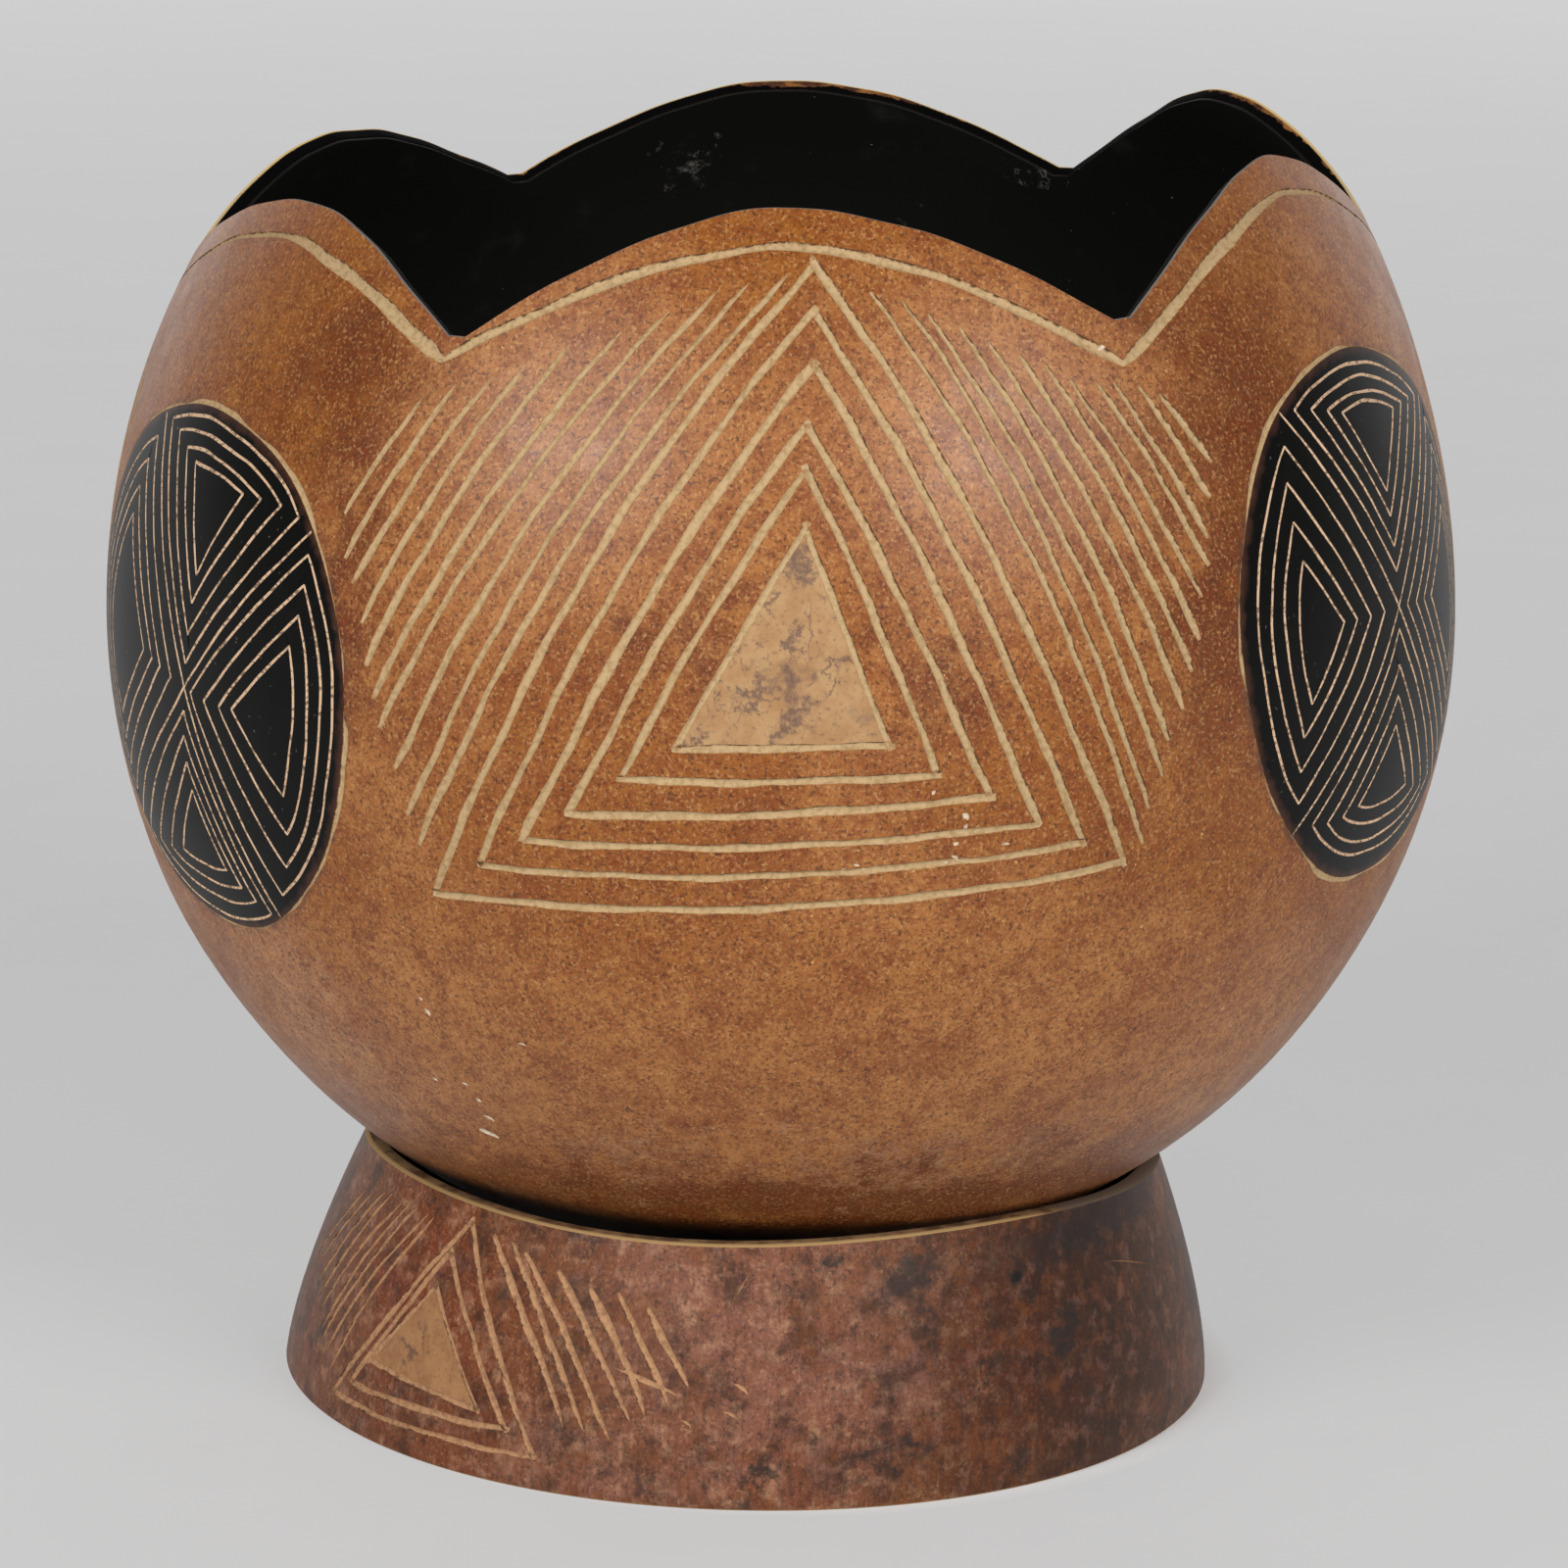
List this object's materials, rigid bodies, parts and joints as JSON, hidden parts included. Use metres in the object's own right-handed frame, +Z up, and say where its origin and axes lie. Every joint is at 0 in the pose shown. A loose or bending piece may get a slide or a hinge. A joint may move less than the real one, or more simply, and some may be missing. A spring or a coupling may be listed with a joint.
{
  "type": "carved gourd planter",
  "caption": "Round carved gourd bowl with a scalloped rim and a blackened inside, standing loose in a tapered gourd foot ring; holds a plant pot or dry goods.",
  "frame": {"origin": "on the ground, under the middle of the bowl at its widest level", "axes": "+Z up; -Y is the front, with a carved triangle under a scallop; +X to the right of someone facing the front"},
  "size_m": [0.2197, 0.22, 0.2112],
  "materials": {
    "gourd_skin": "dried calabash skin, orange-brown and finely speckled, hand-rubbed to a satin sheen, with pale gouged lines",
    "black_coat": "black sealing coat, brushed on, matt",
    "stained_gourd": "dried calabash skin stained red-brown with charcoal smudges, satin"
  },
  "bodies": {
    "foot": {"foot_ring": "stained_gourd"},
    "bowl": {"bowl_shell": "gourd_skin", "inside_coat": "black_coat"}
  },
  "joints": [
    {"name": "bowl_lift", "type": "slide", "parent": "foot", "child": "bowl", "axis": [0, 0, 1], "range_m": [0, 0.06]}
  ]
}
